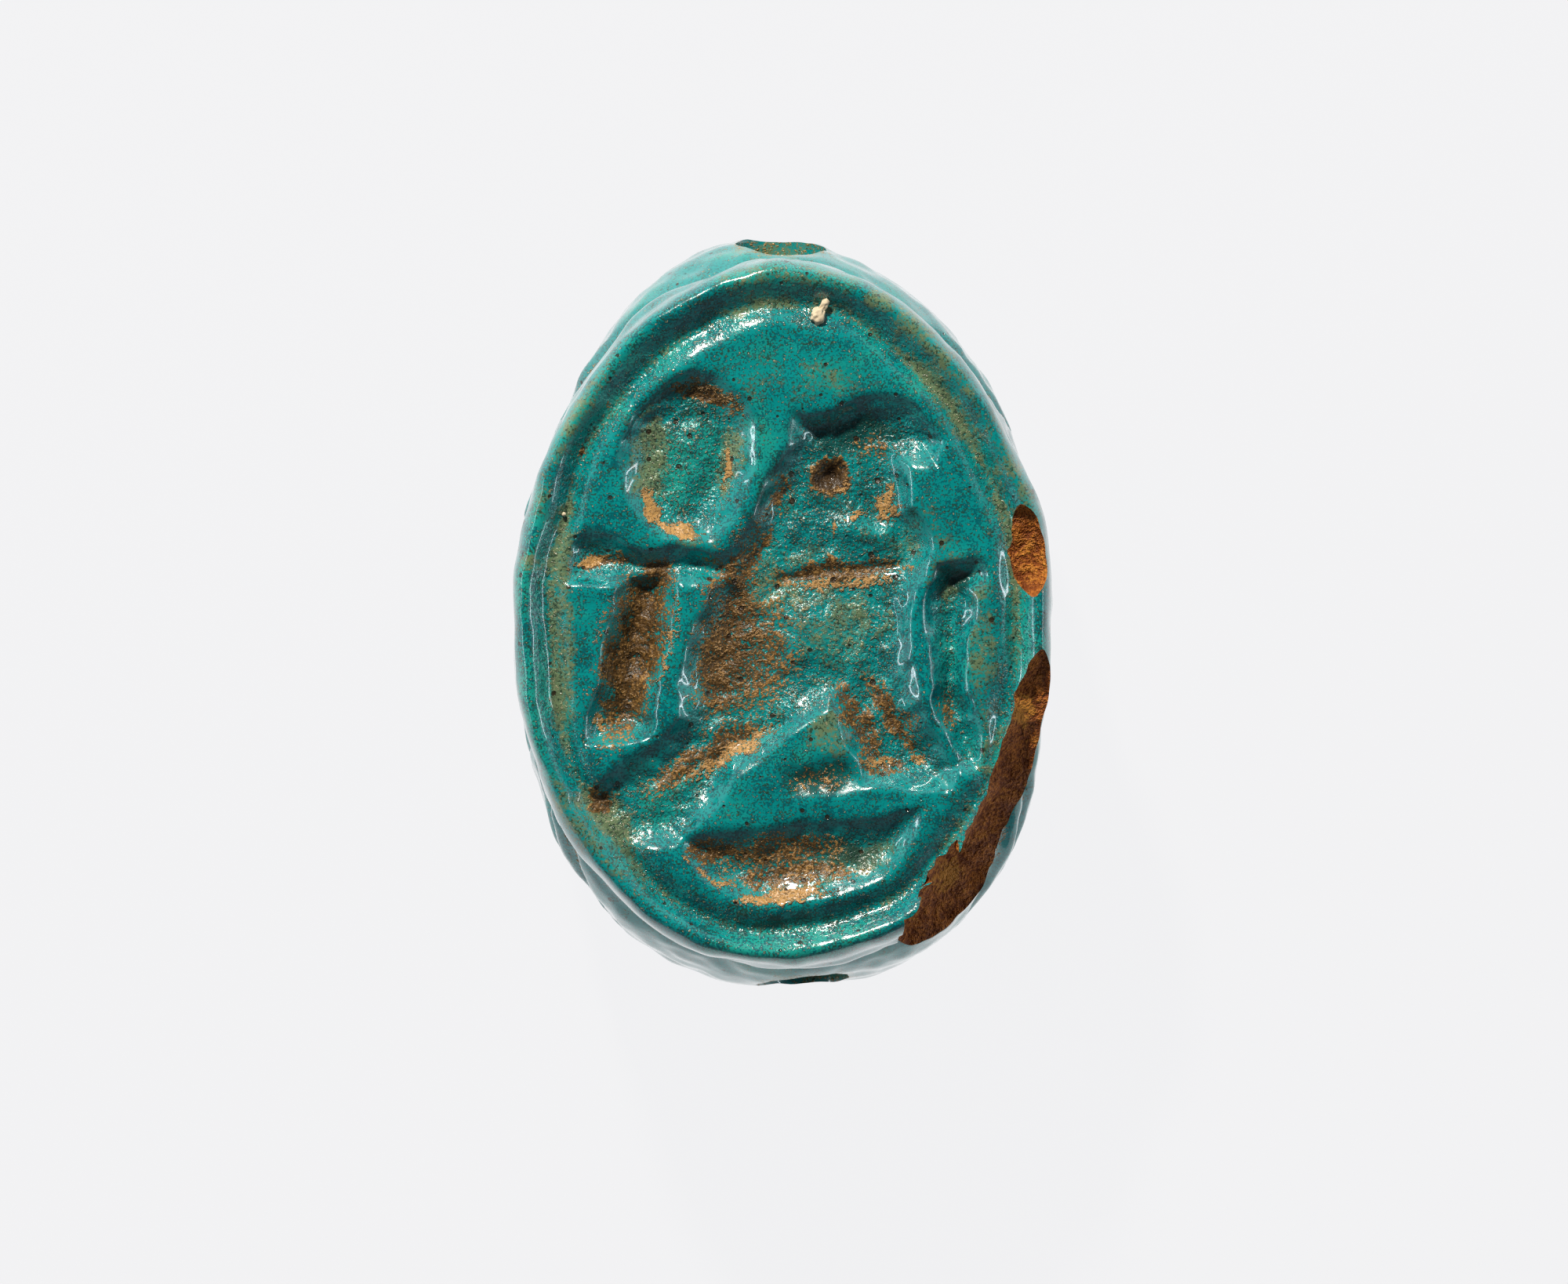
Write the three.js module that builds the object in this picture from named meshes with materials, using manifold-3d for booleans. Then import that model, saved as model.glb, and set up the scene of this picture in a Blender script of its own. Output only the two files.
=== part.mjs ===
// A scarab amulet of turquoise glazed faience, pressed in a mould and pierced for a thread.
// It lies on its back: the beetle's domed back is below, on a small worn flat spot, and the
// carved face of the base plate is on top. +Y runs along the body to the beetle's head, +X is
// to the right of the carved face, and the origin is in the middle of the resting spot.
import * as THREE from 'three';
import { mergeVertices } from 'three/addons/utils/BufferGeometryUtils.js';
import Module from 'manifold-3d';

// ---- driving dimensions, in millimetres ----
const FIELD_Z = 6.7;            // level of the carved face inside its border
const RIM_Z = 6.8;              // crest of the border, and the height of the whole amulet
const GROOVE_Z = 6.42;          // bottom of the groove between border and field
const PLATE_BOTTOM_Z = 5.4;     // where the base plate ends and the legs begin
const BACK_EDGE_Z = 3.3;        // where the legs end and the domed back begins
const REST_SHARE = 0.3;         // the flat resting spot, as a share of the body's plan
const AROUND = 84;              // facets round the body

// An oval plan: half the width, the reach towards head and tail, and how square each end is.
const PLATE = { width: 5.45, head: 7.03, tail: 7.12, headPower: 1.9, tailPower: 2.1, blunt: 7.03 };
const BODY = { width: 5.43, head: 7.6, tail: 7.507, headPower: 1.9, tailPower: 2.3, blunt: 7.5 };

const BORE = { headX: -0.05, tailX: 0.43, z: 4.0, mouthRadius: 0.95, middleRadius: 0.8, sides: 20 };

// ---- the plain body: ovals stacked from the carved field, over the edge, to the resting spot ----
function ovalPoint(plan, inset, turn) {
  const across = Math.cos(turn);
  const along = Math.sin(turn);
  const power = along > 0 ? plan.headPower : plan.tailPower;
  const reach = (along > 0 ? plan.head : plan.tail) - inset;
  const x = (plan.width - inset) * Math.sign(across) * Math.abs(across) ** (2 / power);
  const y = reach * Math.sign(along) * Math.abs(along) ** (2 / power);
  return [x, Math.min(y, plan.blunt - inset)];
}

function ring(plan, inset, z, share = 1) {
  const points = [];
  for (let i = 0; i < AROUND; i += 1) {
    const [x, y] = ovalPoint(plan, inset, (2 * Math.PI * i) / AROUND);
    points.push([x * share, y * share, z]);
  }
  return points;
}

// Height of the back under a share of the plan, from the resting spot out to the legs.
function backZ(share) {
  const q = Math.max(0, (share - REST_SHARE) / (1 - REST_SHARE));
  return BACK_EDGE_Z * (1 - Math.sqrt(Math.max(0, 1 - q * q)));
}

function bodyRings() {
  const edge = [
    [1.45, FIELD_Z], [1.2, 6.62], [0.98, 6.49], [0.8, GROOVE_Z], [0.62, 6.54], [0.46, 6.7],
    [0.28, RIM_Z], [0.13, 6.74], [0.04, 6.55], [0, 6.25], [0, 5.75], [0.12, PLATE_BOTTOM_Z],
  ];
  const legs = [[0.36, 5.2], [0.27, 4.95], [0.12, 4.5], [0.03, 3.9], [0, BACK_EDGE_Z]];
  const rings = edge.map(([inset, z]) => ring(PLATE, inset, z));
  rings.push(...legs.map(([inset, z]) => ring(BODY, inset, z)));
  for (const q of [0.96, 0.88, 0.77, 0.64, 0.5, 0.35, 0.18, 0]) {
    const share = REST_SHARE + (1 - REST_SHARE) * q;
    rings.push(ring(BODY, 0, backZ(share), share));
  }
  return rings;
}

// Joins rings of equal count into a closed shell. The first and last rings are convex and flat,
// and are closed by a fan.
function shell(rings) {
  const count = rings[0].length;
  const last = rings.length - 1;
  const index = [];
  for (let r = 0; r < last; r += 1) {
    for (let i = 0; i < count; i += 1) {
      const a = r * count + i;
      const b = r * count + ((i + 1) % count);
      index.push(a, a + count, b, b, a + count, b + count);
    }
  }
  for (let i = 1; i < count - 1; i += 1) {
    index.push(0, i, i + 1);
    index.push(last * count, last * count + i + 1, last * count + i);
  }
  const geometry = new THREE.BufferGeometry();
  geometry.setAttribute('position', new THREE.Float32BufferAttribute(rings.flat(2), 3));
  geometry.setIndex(index);
  return geometry;
}

// ---- joins and cuts ----
const wasm = await Module();
wasm.setup();

function solid(geometry) {
  const bare = geometry.clone();
  bare.deleteAttribute('normal');
  bare.deleteAttribute('uv');
  const merged = mergeVertices(bare, 1e-5);
  return new wasm.Manifold(new wasm.Mesh({
    numProp: 3,
    vertProperties: new Float32Array(merged.attributes.position.array),
    triVerts: new Uint32Array(merged.index.array),
  }));
}

function geometryOf(manifold) {
  const mesh = manifold.getMesh();
  const geometry = new THREE.BufferGeometry();
  geometry.setAttribute('position', new THREE.BufferAttribute(new Float32Array(mesh.vertProperties), 3));
  geometry.setIndex(new THREE.BufferAttribute(new Uint32Array(mesh.triVerts), 1));
  return geometry;
}

// ---- the carved face: sunk signs with sloping walls ----
// A sign is cut from its outline at the field down to a floor that is smaller by the wall's run.
function sink(outline, depth, run) {
  const shape = new THREE.Shape(outline);
  const geometry = new THREE.ExtrudeGeometry(shape, {
    depth: 1,
    bevelEnabled: true,
    bevelThickness: depth,
    bevelSize: run,
    bevelOffset: -run,
    bevelSegments: 1,
  });
  geometry.translate(0, 0, FIELD_Z);
  return solid(geometry);
}

function straight(corners) {
  return corners.map(([x, y]) => new THREE.Vector2(x, y));
}

function ellipse(x, y, halfWidth, halfHeight, tiltDegrees = 0, sides = 24) {
  const curve = new THREE.EllipseCurve(
    x, y, halfWidth, halfHeight, 0, 2 * Math.PI, false, THREE.MathUtils.degToRad(tiltDegrees));
  return curve.getPoints(sides).slice(0, -1);
}

// A stroke with round ends, from one point to another, that may swell or taper.
function stroke([x0, y0], [x1, y1], start, end = start, sides = 6) {
  const way = Math.atan2(y1 - y0, x1 - x0);
  const points = [];
  for (let i = 0; i <= sides; i += 1) {
    const turn = way + Math.PI / 2 + (Math.PI * i) / sides;
    points.push(new THREE.Vector2(x0 + start * Math.cos(turn), y0 + start * Math.sin(turn)));
  }
  for (let i = 0; i <= sides; i += 1) {
    const turn = way - Math.PI / 2 + (Math.PI * i) / sides;
    points.push(new THREE.Vector2(x1 + end * Math.cos(turn), y1 + end * Math.sin(turn)));
  }
  return points;
}

function sunDisc() {
  const hollow = sink(ellipse(-1.87, 3.17, 1.34, 1.72, -11, 32), 0.42, 0.32);
  const plateau = solid(new THREE.ExtrudeGeometry(
    new THREE.Shape(ellipse(-1.95, 3.1, 0.68, 1.0, -11, 20)), { depth: 0.1, bevelEnabled: false })
    .translate(0, 0, FIELD_Z - 0.42));
  return hollow.subtract(plateau);
}

function pillar() {
  const top = sink(straight([[-4.2, 0.62], [-4.2, 1.4], [-3.9, 1.75], [-3.1, 1.3], [-1.5, 1.12],
    [-0.8, 1.25], [-1.05, 0.62]]), 0.42, 0.2);
  const shaft = sink(straight([[-3.3, 0.8], [-2.2, 0.75], [-2.65, -2.45], [-3.9, -2.55]]), 0.6, 0.28);
  return top.add(shaft);
}

function seatedFigure() {
  const head = [[0.18, 3.94], [0.97, 4.08], [1.6, 4.27], [2.24, 4.33], [2.7, 4.18], [3.28, 3.42],
    [3.03, 3.04], [2.5, 2.97], [2.44, 2.1], [2.95, 1.59]];
  const front = [[3.03, 1.3], [2.58, 0.43], [2.43, -0.88], [2.72, -1.84], [3.5, -3.04]];
  const knees = [[3.3, -3.45], [1.6, -3.4], [1.45, -2.9], [0.98, -1.72], [0.1, -2.32], [-1.62, -4.04]];
  const foot = [[-2.2, -4.5], [-3.2, -4.7], [-4.2, -3.8], [-3.12, -2.98], [-2.39, -2.65], [-2.03, -2.1]];
  const backOfRobe = [[-1.98, -1.45], [-1.83, -0.45], [-1.48, 0.28], [-0.45, 2.09], [0.06, 3.26]];
  const figure = sink(straight([...head, ...front, ...knees, ...foot, ...backOfRobe]), 0.44, 0.2);
  const headPit = sink(ellipse(0.97, 2.73, 0.46, 0.44, 0, 20), 0.75, 0.25);
  const arm = sink(stroke([0.1, 0.78], [2.4, 1.05], 0.24), 0.66, 0.18);
  const folds = [
    sink(stroke([-0.9, 0.2], [-1.35, -2.0], 0.42, 0.35), 0.55, 0.2),
    sink(stroke([1.1, -1.3], [2, -3.1], 0.2, 0.24), 0.55, 0.15),
    sink(stroke([1.6, -1.4], [2.8, -2.9], 0.18, 0.24), 0.55, 0.15),
    sink(stroke([-2.0, -3.2], [0, -2.15], 0.16, 0.2), 0.52, 0.12),
  ];
  return [figure, headPit, arm, ...folds].reduce((a, b) => a.add(b));
}

function leaf() {
  return sink(straight([[3.0, 0.4], [3.2, 0.95], [3.9, 0.98], [3.75, 0.5], [3.7, -0.4], [3.72, -1.3],
    [3.88, -2], [4.02, -3.1], [3.5, -3], [3.1, -1.9], [2.97, -0.4]]), 0.48, 0.16);
}

function basket() {
  const sides = 10;
  const tilt = THREE.MathUtils.degToRad(5);
  const bowl = [];
  for (let i = 0; i <= sides; i += 1) {
    const turn = -0.08 - (Math.PI - 0.16) * (i / sides);
    const point = new THREE.Vector2(2.4 * Math.cos(turn), 1.65 * Math.sin(turn));
    bowl.push(point.rotateAround(new THREE.Vector2(0, 0), tilt).add(new THREE.Vector2(0.33, -4.15)));
  }
  return sink(bowl, 0.5, 0.24);
}

function smallStrokes() {
  const slot = sink(stroke([0.2, -3.4], [1.35, -3.22], 0.2, 0.26), 0.42, 0.14);
  const pit = sink(ellipse(-3.68, -3.8, 0.22, 0.28, -20, 12), 0.6, 0.1);
  return slot.add(pit);
}

// ---- the beetle: lines cut in its back and between its legs ----
// A gouge is a round cutter that follows a curve and tapers away at both ends.
function gouge(points, radius, steps = 8, sides = 6) {
  const path = new THREE.CatmullRomCurve3(points, false, 'centripetal');
  const frames = path.computeFrenetFrames(steps, false);
  const rings = [];
  for (let s = 0; s <= steps; s += 1) {
    const middle = path.getPointAt(s / steps);
    const reach = radius * Math.max(0.15, Math.sin((Math.PI * s) / steps)) ** 0.6;
    const points = [];
    for (let i = 0; i < sides; i += 1) {
      const turn = (-2 * Math.PI * i) / sides;
      const spoke = frames.normals[s].clone().multiplyScalar(reach * Math.cos(turn));
      spoke.addScaledVector(frames.binormals[s], reach * Math.sin(turn)).add(middle);
      points.push(spoke.toArray());
    }
    rings.push(points);
  }
  return solid(shell(rings));
}

// The point of the back at x and y in plan.
function onBack(x, y) {
  const power = y > 0 ? BODY.headPower : BODY.tailPower;
  const reach = y > 0 ? BODY.head : BODY.tail;
  const share = (Math.abs(x / BODY.width) ** power + Math.abs(y / reach) ** power) ** (1 / power);
  return new THREE.Vector3(x, y, backZ(Math.min(share, 1)));
}

// The point of the side at a height z, level with y along the body.
function onSide(side, y, z) {
  const power = y > 0 ? BODY.headPower : BODY.tailPower;
  const inset = THREE.MathUtils.mapLinear(z, BACK_EDGE_Z, 5.2, 0, 0.36);
  const reach = (y > 0 ? BODY.head : BODY.tail) - inset;
  const x = (BODY.width - inset) * (1 - Math.min(1, Math.abs(y / reach)) ** power) ** (1 / power);
  return new THREE.Vector3(side * x, y, z);
}

const SIDES = [1, -1];

function backLines() {
  const collar = [-4.9, -3, 0, 3, 4.9].map((x) => onBack(x, 2.8 - 0.035 * x * x));
  const neck = [-3.4, -2, 0, 2, 3.4].map((x) => onBack(x, 5.0 - 0.05 * x * x));
  const wingSeam = [-2.3, -3.4, -4.8, -6.2, -7.4].map((y) => onBack(0, y));
  const cuts = [gouge(collar, 0.34, 12), gouge(neck, 0.32, 10), gouge(wingSeam, 0.3, 8)];
  for (const side of SIDES) {
    const shoulder = [[2.4, 2.2], [3.2, 1.5], [4.2, 1.4]];
    const cheek = [[1.0, 7.5], [0.85, 6.7], [0.75, 5.7]];
    cuts.push(gouge(shoulder.map(([x, y]) => onBack(side * x, y)), 0.26, 5));
    cuts.push(gouge(cheek.map(([x, y]) => onBack(side * x, y)), 0.28, 5));
  }
  return cuts;
}

// Three legs on each side, folded back along the body: each is left standing between two gouges.
function legLines() {
  const starts = [6.1, 4.2, 2.2, 0.4, -1.7, -3.4];
  const sweeps = [2.3, 2.4, 3.3, 3.3, 3.2, 2.8];
  const cuts = [];
  for (const side of SIDES) {
    starts.forEach((y, i) => {
      const run = [0, 0.5, 1].map((s) => onSide(side, y - s * sweeps[i], 5.2 - 1.7 * s ** 1.3));
      cuts.push(gouge(run, 0.3, 5));
    });
    const wingEdge = [4.9, 2.6, 0, -2.6, -5.2].map((y) => onSide(side, y, BACK_EDGE_Z - 0.15));
    cuts.push(gouge(wingEdge, 0.26, 10));
  }
  return cuts;
}

// ---- damage: the border broken away at the lower right, and a flake off it higher up ----
// A place on the border, at a turn round the plate, moved in or out from its edge.
function onBorder(turnDegrees, inset, z) {
  const [x, y] = ovalPoint(PLATE, inset, THREE.MathUtils.degToRad(turnDegrees));
  return new THREE.Vector3(x, y, z);
}

function chips() {
  const stations = [[-10, 0, 6.95], [-24, -0.1, 6.72], [-38, -0.3, 6.5], [-50, -0.4, 6.4], [-66, -0.2, 6.6]];
  const break_ = stations.map(([turn, inset, z]) => onBorder(turn, inset, z));
  const flake = [21, 12.5, 5].map((turn) => onBorder(turn, 0.5, 6.92));
  return [gouge(break_, 1.4, 12, 10), gouge(flake, 0.52, 6, 8)];
}

// ---- the hole for the thread, right through from head to tail ----
function bore() {
  const { mouthRadius, middleRadius, sides, headX, tailX, z } = BORE;
  const half = 8;
  const profile = [
    [0, -half], [mouthRadius, -half], [mouthRadius, -7.2], [middleRadius, -5.5],
    [middleRadius, 5.5], [mouthRadius, 7.2], [mouthRadius, half], [0, half],
  ].map(([r, y]) => new THREE.Vector2(r, y));
  const geometry = new THREE.LatheGeometry(profile, sides);
  geometry.rotateZ(Math.atan2(tailX - headX, BODY.head + BODY.tail));
  geometry.translate((headX + tailX) / 2, 0, z);
  return solid(geometry);
}

const signs = [sunDisc(), pillar(), seatedFigure(), leaf(), basket(), smallStrokes()];
const cuts = [...signs, ...backLines(), ...legLines(), ...chips(), bore()];
const body = solid(shell(bodyRings()));
const amulet = cuts.reduce((rest, cut) => rest.subtract(cut), body);

const glaze = new THREE.MeshStandardMaterial({ color: 0x0f8a86, roughness: 0.25, metalness: 0 });
const scarab = new THREE.Mesh(geometryOf(amulet), glaze);
scarab.name = 'scarab';

const part = new THREE.Group();
part.add(scarab);
export default part;
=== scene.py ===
import math

import bmesh
import bpy
import numpy as np
from mathutils import Matrix, Vector, noise


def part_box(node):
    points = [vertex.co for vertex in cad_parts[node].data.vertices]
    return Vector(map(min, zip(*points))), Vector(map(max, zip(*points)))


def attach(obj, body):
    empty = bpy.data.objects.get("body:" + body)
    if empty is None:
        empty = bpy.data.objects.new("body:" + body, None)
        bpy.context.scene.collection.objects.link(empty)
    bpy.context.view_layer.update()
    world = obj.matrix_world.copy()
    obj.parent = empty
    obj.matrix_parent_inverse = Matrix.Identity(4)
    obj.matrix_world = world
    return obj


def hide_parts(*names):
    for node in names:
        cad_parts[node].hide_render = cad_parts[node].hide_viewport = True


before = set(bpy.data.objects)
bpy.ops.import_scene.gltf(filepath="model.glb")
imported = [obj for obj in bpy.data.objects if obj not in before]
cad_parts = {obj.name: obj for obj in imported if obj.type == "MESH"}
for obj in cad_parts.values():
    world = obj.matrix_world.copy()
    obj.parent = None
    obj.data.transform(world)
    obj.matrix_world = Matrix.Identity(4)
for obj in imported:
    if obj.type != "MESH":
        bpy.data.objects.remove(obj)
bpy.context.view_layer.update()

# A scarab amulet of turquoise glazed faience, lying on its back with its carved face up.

noise.seed_set(7)  # so that noise_vector gives the same waviness each run


# ---- The amulet's plan and profile ----
# The amulet is one lump of quartz paste, pressed in a mould. Its base plate is an oval with a
# raised border; the beetle's body under it is a fuller oval, with a blunt front edge at the head.
# Everything here is in millimetres, and the finished mesh is scaled down to metres.
MM = 0.001
LOW, HIGH = (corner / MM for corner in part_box("scarab"))
CREST = HIGH.z
FIELD = CREST - 0.1
GROOVE = CREST - 0.38
BACK_EDGE = 3.3
REST_SHARE = 0.3  # how much of the plan the flat resting spot takes up


class Oval:
    """A plan: half the width, the reach to head and tail, and how square each end is."""

    def __init__(self, width, head, tail, head_power, tail_power, blunt):
        self.width, self.head, self.tail = width, head, tail
        self.head_power, self.tail_power, self.blunt = head_power, tail_power, blunt

    def point(self, turn, inset):
        across, along = math.cos(turn), math.sin(turn)
        power = self.head_power if along > 0 else self.tail_power
        reach = (self.head if along > 0 else self.tail) - inset
        x = (self.width - inset) * math.copysign(abs(across) ** (2 / power), across)
        y = reach * math.copysign(abs(along) ** (2 / power), along)
        return Vector((x, min(y, self.blunt - inset), 0))

    def inset(self, x, y):
        """How far inside the outline each of many places is."""
        power = np.where(y > 0, self.head_power, self.tail_power)
        reach = np.where(y > 0, self.head, self.tail)
        near, far = np.full(x.shape, -1.0), np.full(x.shape, self.width - 0.05)
        for _ in range(24):
            middle = (near + far) / 2
            share = (np.abs(x) / (self.width - middle)) ** power
            share = share + (np.abs(y) / (reach - middle)) ** power
            near, far = np.where(share < 1, middle, near), np.where(share < 1, far, middle)
        return (near + far) / 2


plate = Oval(HIGH.x, 7.12, 7.12, 1.9, 2.1, 7.12)
body = Oval(HIGH.x - 0.02, HIGH.y + 0.1, -LOW.y, 1.9, 2.3, HIGH.y)


def ease(t):
    """A soft rise from nought to one as t does the same."""
    t = np.clip(t, 0, 1)
    return t * t * (3 - 2 * t)


def border_height(inset, y):
    """The rounded border, wider at the head, and the groove between it and the field."""
    wider = 0.09 * ease((y - 3) / 3)
    shoulder, bottom, field = 0.28, 0.76 + wider, 1.27 + wider
    outer = CREST - 0.55 + 0.55 * np.sqrt(np.clip(1 - (1 - inset / shoulder) ** 2, 0, 1))
    fall = np.clip((inset - shoulder) / (bottom - shoulder), 0, 1)
    inner = CREST - (CREST - GROOVE) * (0.4 * fall + 0.6 * ease(fall))
    run = np.clip((inset - bottom) / (field - bottom), 0, 1)
    rise = GROOVE + (FIELD - GROOVE) * (0.35 * ease(run) + 0.65 * (1 - (1 - run) ** 2))
    return np.where(inset < shoulder, outer, np.where(inset < bottom, inner, rise))


# ---- The signs on the carved face ----
# The signs are sunk in the flat field: a sun disc, a pillar under a bar, a seated figure, a leaf,
# a basket and some small strokes. Their walls slope and their edges are rounded by the glaze.
def outline_distance(x, y, corners):
    """Distance of many places to a closed outline, negative inside it."""
    inside = np.zeros(x.shape, bool)
    nearest = np.full(x.shape, 1e9)
    for (x0, y0), (x1, y1) in zip(corners, corners[1:] + corners[:1]):
        run, rise = x1 - x0, y1 - y0
        along = np.clip(((x - x0) * run + (y - y0) * rise) / (run * run + rise * rise), 0, 1)
        nearest = np.minimum(nearest, np.hypot(x - x0 - along * run, y - y0 - along * rise))
        crosses = (y0 > y) != (y1 > y)
        inside ^= crosses & (x < x0 + (y - y0) * run / (rise if rise else 1e-9))
    return np.where(inside, -nearest, nearest)


def oval_distance(x, y, centre, radii, tilt=0):
    turn = math.radians(tilt)
    u = (x - centre[0]) * math.cos(turn) + (y - centre[1]) * math.sin(turn)
    v = (y - centre[1]) * math.cos(turn) - (x - centre[0]) * math.sin(turn)
    share = np.hypot(u / radii[0], v / radii[1])
    slope = np.hypot(u / radii[0] ** 2, v / radii[1] ** 2) / np.maximum(share, 1e-6)
    return (share - 1) / np.maximum(slope, 1e-6)


def stroke_distance(x, y, start, end, start_width, end_width):
    run, rise = end[0] - start[0], end[1] - start[1]
    along = np.clip(((x - start[0]) * run + (y - start[1]) * rise) / (run * run + rise * rise), 0, 1)
    off = np.hypot(x - start[0] - along * run, y - start[1] - along * rise)
    return off - (start_width + along * (end_width - start_width))


def sunk(distance, depth, wall=0.4, lip=0.17):
    """A hollow of that depth, whose wall starts a lip outside the outline and flattens slowly."""
    run = np.clip((lip - distance) / (1.25 * wall + lip), 0, 1)
    return depth * (0.5 * ease(run) + 0.5 * (1 - (1 - run) ** 2) * ease(run / 0.25))


def mound(x, y, centre, radii, height, tilt=0):
    """A low swelling left in the bottom of a hollow."""
    return height * ease(-oval_distance(x, y, centre, radii, tilt) / min(radii))


def deepest(hollows):
    """Hollows that run into each other, with a soft edge between them."""
    power = 5
    return sum(np.maximum(h, 0) ** power for h in hollows) ** (1 / power)


FIGURE = [
    (-1.48, 0.28), (-1.08, 1.07), (-0.45, 2.09), (0.06, 3.26), (0.18, 3.94), (0.97, 4.07), (1.6, 4.26),
    (2.24, 4.32), (2.7, 4.18), (3.28, 3.42), (3.03, 3.04), (2.5, 2.97), (2.44, 2.1), (2.95, 1.59),
    (3.03, 1.3), (2.58, 0.43), (2.43, -0.88), (2.72, -1.84), (3.5, -3.04), (3.3, -3.45), (1.6, -3.4),
    (1.45, -2.9), (0.98, -1.72), (0.1, -2.32), (-0.85, -3.12), (-1.62, -4.04), (-2.2, -4.5),
    (-3.2, -4.7), (-4.2, -3.8), (-3.63, -3.45), (-3.12, -2.98), (-2.39, -2.65), (-2.03, -2.1),
    (-1.98, -1.45), (-1.83, -0.45),
]
BAR = [(-4.3, 0.62), (-4.3, 1.5), (-3.9, 1.75), (-3.1, 1.3), (-1.5, 1.12), (-0.8, 1.25), (-1.05, 0.62)]
PILLAR = [(-3.3, 0.9), (-2.2, 0.9), (-2.5, -1.3), (-2.65, -2.45), (-3.9, -2.55), (-3.55, -1.1)]
LEAF = [
    (3.0, 0.4), (3.2, 0.95), (3.9, 0.98), (4.0, 0.75), (3.75, 0.5), (3.7, -0.4), (3.72, -1.3),
    (3.88, -2.0), (4.02, -2.9), (3.95, -3.2), (3.5, -3.0), (3.1, -1.9), (2.97, -0.4),
]
BASKET_MIDDLE, BASKET_HALF_WIDTH, BASKET_DEPTH = (0.33, -4.15), 2.4, 1.65
lean_across, lean_along = math.cos(math.radians(5)), math.sin(math.radians(5))
BASKET = []
for t in (-0.08 - (math.pi - 0.16) * i / 16 for i in range(17)):
    across, along = BASKET_HALF_WIDTH * math.cos(t), BASKET_DEPTH * math.sin(t)
    BASKET.append((BASKET_MIDDLE[0] + across * lean_across - along * lean_along,
                   BASKET_MIDDLE[1] + across * lean_along + along * lean_across))


def wavering(x, y, reach, size, level):
    """The places, moved a little by a slow hand."""
    moved = np.array([noise.noise_vector(Vector((a / size, b / size, level))) for a, b in zip(x, y)])
    return x + reach * moved[:, 0], y + reach * moved[:, 1]


def ripple(x, y, size, level):
    """Noise about nought over the face, with waves of that size."""
    return np.array([noise.noise(Vector((a / size, b / size, level))) for a, b in zip(x, y)])


def carving_depth(x, y):
    """How deep the signs are cut below the field, at many places."""
    x, y = wavering(*wavering(x, y, 0.11, 0.8, 3.0), 0.06, 0.3, 8.0)
    disc = sunk(oval_distance(x, y, (-1.87, 3.17), (1.3, 1.68), -11), 0.42, 0.5)
    disc = disc - mound(x, y, (-1.9, 3.15), (0.75, 1.1), 0.12, -11)
    bar = sunk(outline_distance(x, y, BAR), 0.42, 0.4)
    pillar = sunk(outline_distance(x, y, PILLAR), 0.6, 0.46)
    figure = sunk(outline_distance(x, y, FIGURE), 0.44, 0.44)
    figure = figure - mound(x, y, (1.6, 1.62), (0.8, 0.45), 0.13)
    figure = figure - mound(x, y, (0.5, -0.4), (1.0, 1.1), 0.16)
    figure = figure - mound(x, y, (-2.5, -3.6), (1.5, 0.9), 0.12, 30)
    head_pit = sunk(oval_distance(x, y, (0.97, 2.73), (0.42, 0.4)), 0.64, 0.3, 0.12)
    folds = [
        sunk(stroke_distance(x, y, (0.1, 0.78), (2.4, 1.05), 0.16, 0.18), 0.66, 0.28, 0.15),
        sunk(stroke_distance(x, y, (-0.5, 0.1), (0.1, 0.78), 0.1, 0.18), 0.6, 0.22, 0.12),
        sunk(stroke_distance(x, y, (-0.9, 0.2), (-1.35, -2.0), 0.42, 0.35), 0.52, 0.4, 0.2),
        sunk(stroke_distance(x, y, (1.1, -1.3), (2.0, -3.1), 0.12, 0.16), 0.52, 0.2, 0.15),
        sunk(stroke_distance(x, y, (1.6, -1.4), (2.8, -2.9), 0.12, 0.18), 0.54, 0.2, 0.15),
        sunk(stroke_distance(x, y, (-2.1, -3.3), (0.0, -2.15), 0.08, 0.14), 0.52, 0.2, 0.15),
        sunk(stroke_distance(x, y, (-2.9, -3.5), (-1.6, -2.5), 0.08, 0.12), 0.5, 0.2, 0.15),
    ]
    leaf = sunk(outline_distance(x, y, LEAF), 0.44, 0.34)
    basket = sunk(outline_distance(x, y, BASKET), 0.38, 0.46)
    slot = sunk(stroke_distance(x, y, (0.2, -3.38), (1.3, -3.22), 0.24, 0.29), 0.23, 0.36)
    pit = sunk(oval_distance(x, y, (-3.68, -3.8), (0.24, 0.3), -20), 0.36, 0.24, 0.08)
    return deepest([disc, bar, pillar, figure, head_pit, *folds, leaf, basket, slot, pit])


def carved_height(x, y):
    """Height of the carved face, border and signs together, at many places."""
    inset = plate.inset(x, y) + 0.05 * ripple(x, y, 1.5, 21.0)
    rim = border_height(inset, y)
    depth = carving_depth(x, y)
    height = FIELD + np.maximum(rim - FIELD, 0) - deepest([np.where(inset > 0.4, FIELD - rim, 0), depth])
    height = height - np.where(inset <= 0.4, np.maximum(FIELD - rim, 0), 0)
    slow = 0.06 * ripple(x, y, 1.2, 5.0) + 0.015 * ripple(x, y, 0.4, 6.0) - 0.03
    gritty = ease(depth / 0.35) * (0.055 * ripple(x, y, 0.4, 7.0) + 0.035 * ripple(x, y, 0.2, 9.0))
    return height + ease(inset / 0.3) * (slow + gritty)


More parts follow.
